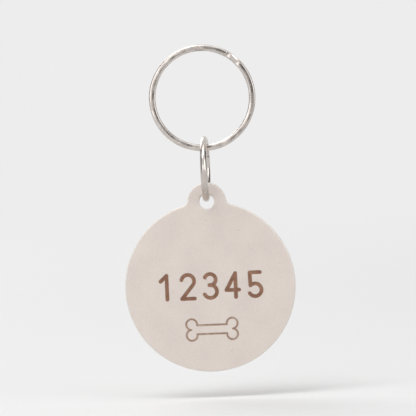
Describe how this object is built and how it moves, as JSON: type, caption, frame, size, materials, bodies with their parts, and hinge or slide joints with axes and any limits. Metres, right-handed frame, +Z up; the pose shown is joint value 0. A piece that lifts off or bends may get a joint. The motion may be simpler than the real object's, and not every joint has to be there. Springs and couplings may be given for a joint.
{
  "type": "pet id tag",
  "caption": "Round flat pet tag with an ear and an engraved number, hung from a flat key ring by a round wire link, for a collar.",
  "frame": {"origin": "inside top of the key ring, where a collar's own ring carries it", "axes": "+Z up along the hanging tag, +X to the right of the marked face, +Y from the marked face to the back"},
  "size_m": [0.032, 0.0124, 0.0615],
  "materials": {
    "ring_wire": "polished nickel plate on spring steel",
    "link_wire": "polished nickel plate on steel wire",
    "tag_coat": "matt ivory coat on stamped steel",
    "number_infill": "matt brown enamel infill",
    "bone_infill": "matt pale brown enamel infill"
  },
  "bodies": {
    "key_ring": {"split_ring": "ring_wire"},
    "link": {"link_ring": "link_wire"},
    "tag": {"tag_blank": "tag_coat", "number_fill": "number_infill", "bone_fill": "bone_infill"}
  },
  "joints": [
    {"name": "link_swing", "type": "hinge", "parent": "key_ring", "child": "link", "pos_m": [0, 0, -0.0182], "axis": [1, 0, 0], "range_deg": [-120, 120]},
    {"name": "tag_swing", "type": "hinge", "parent": "link", "child": "tag", "pos_m": [0, 0, -0.02774], "axis": [0, 1, 0], "range_deg": [-75, 75]}
  ]
}
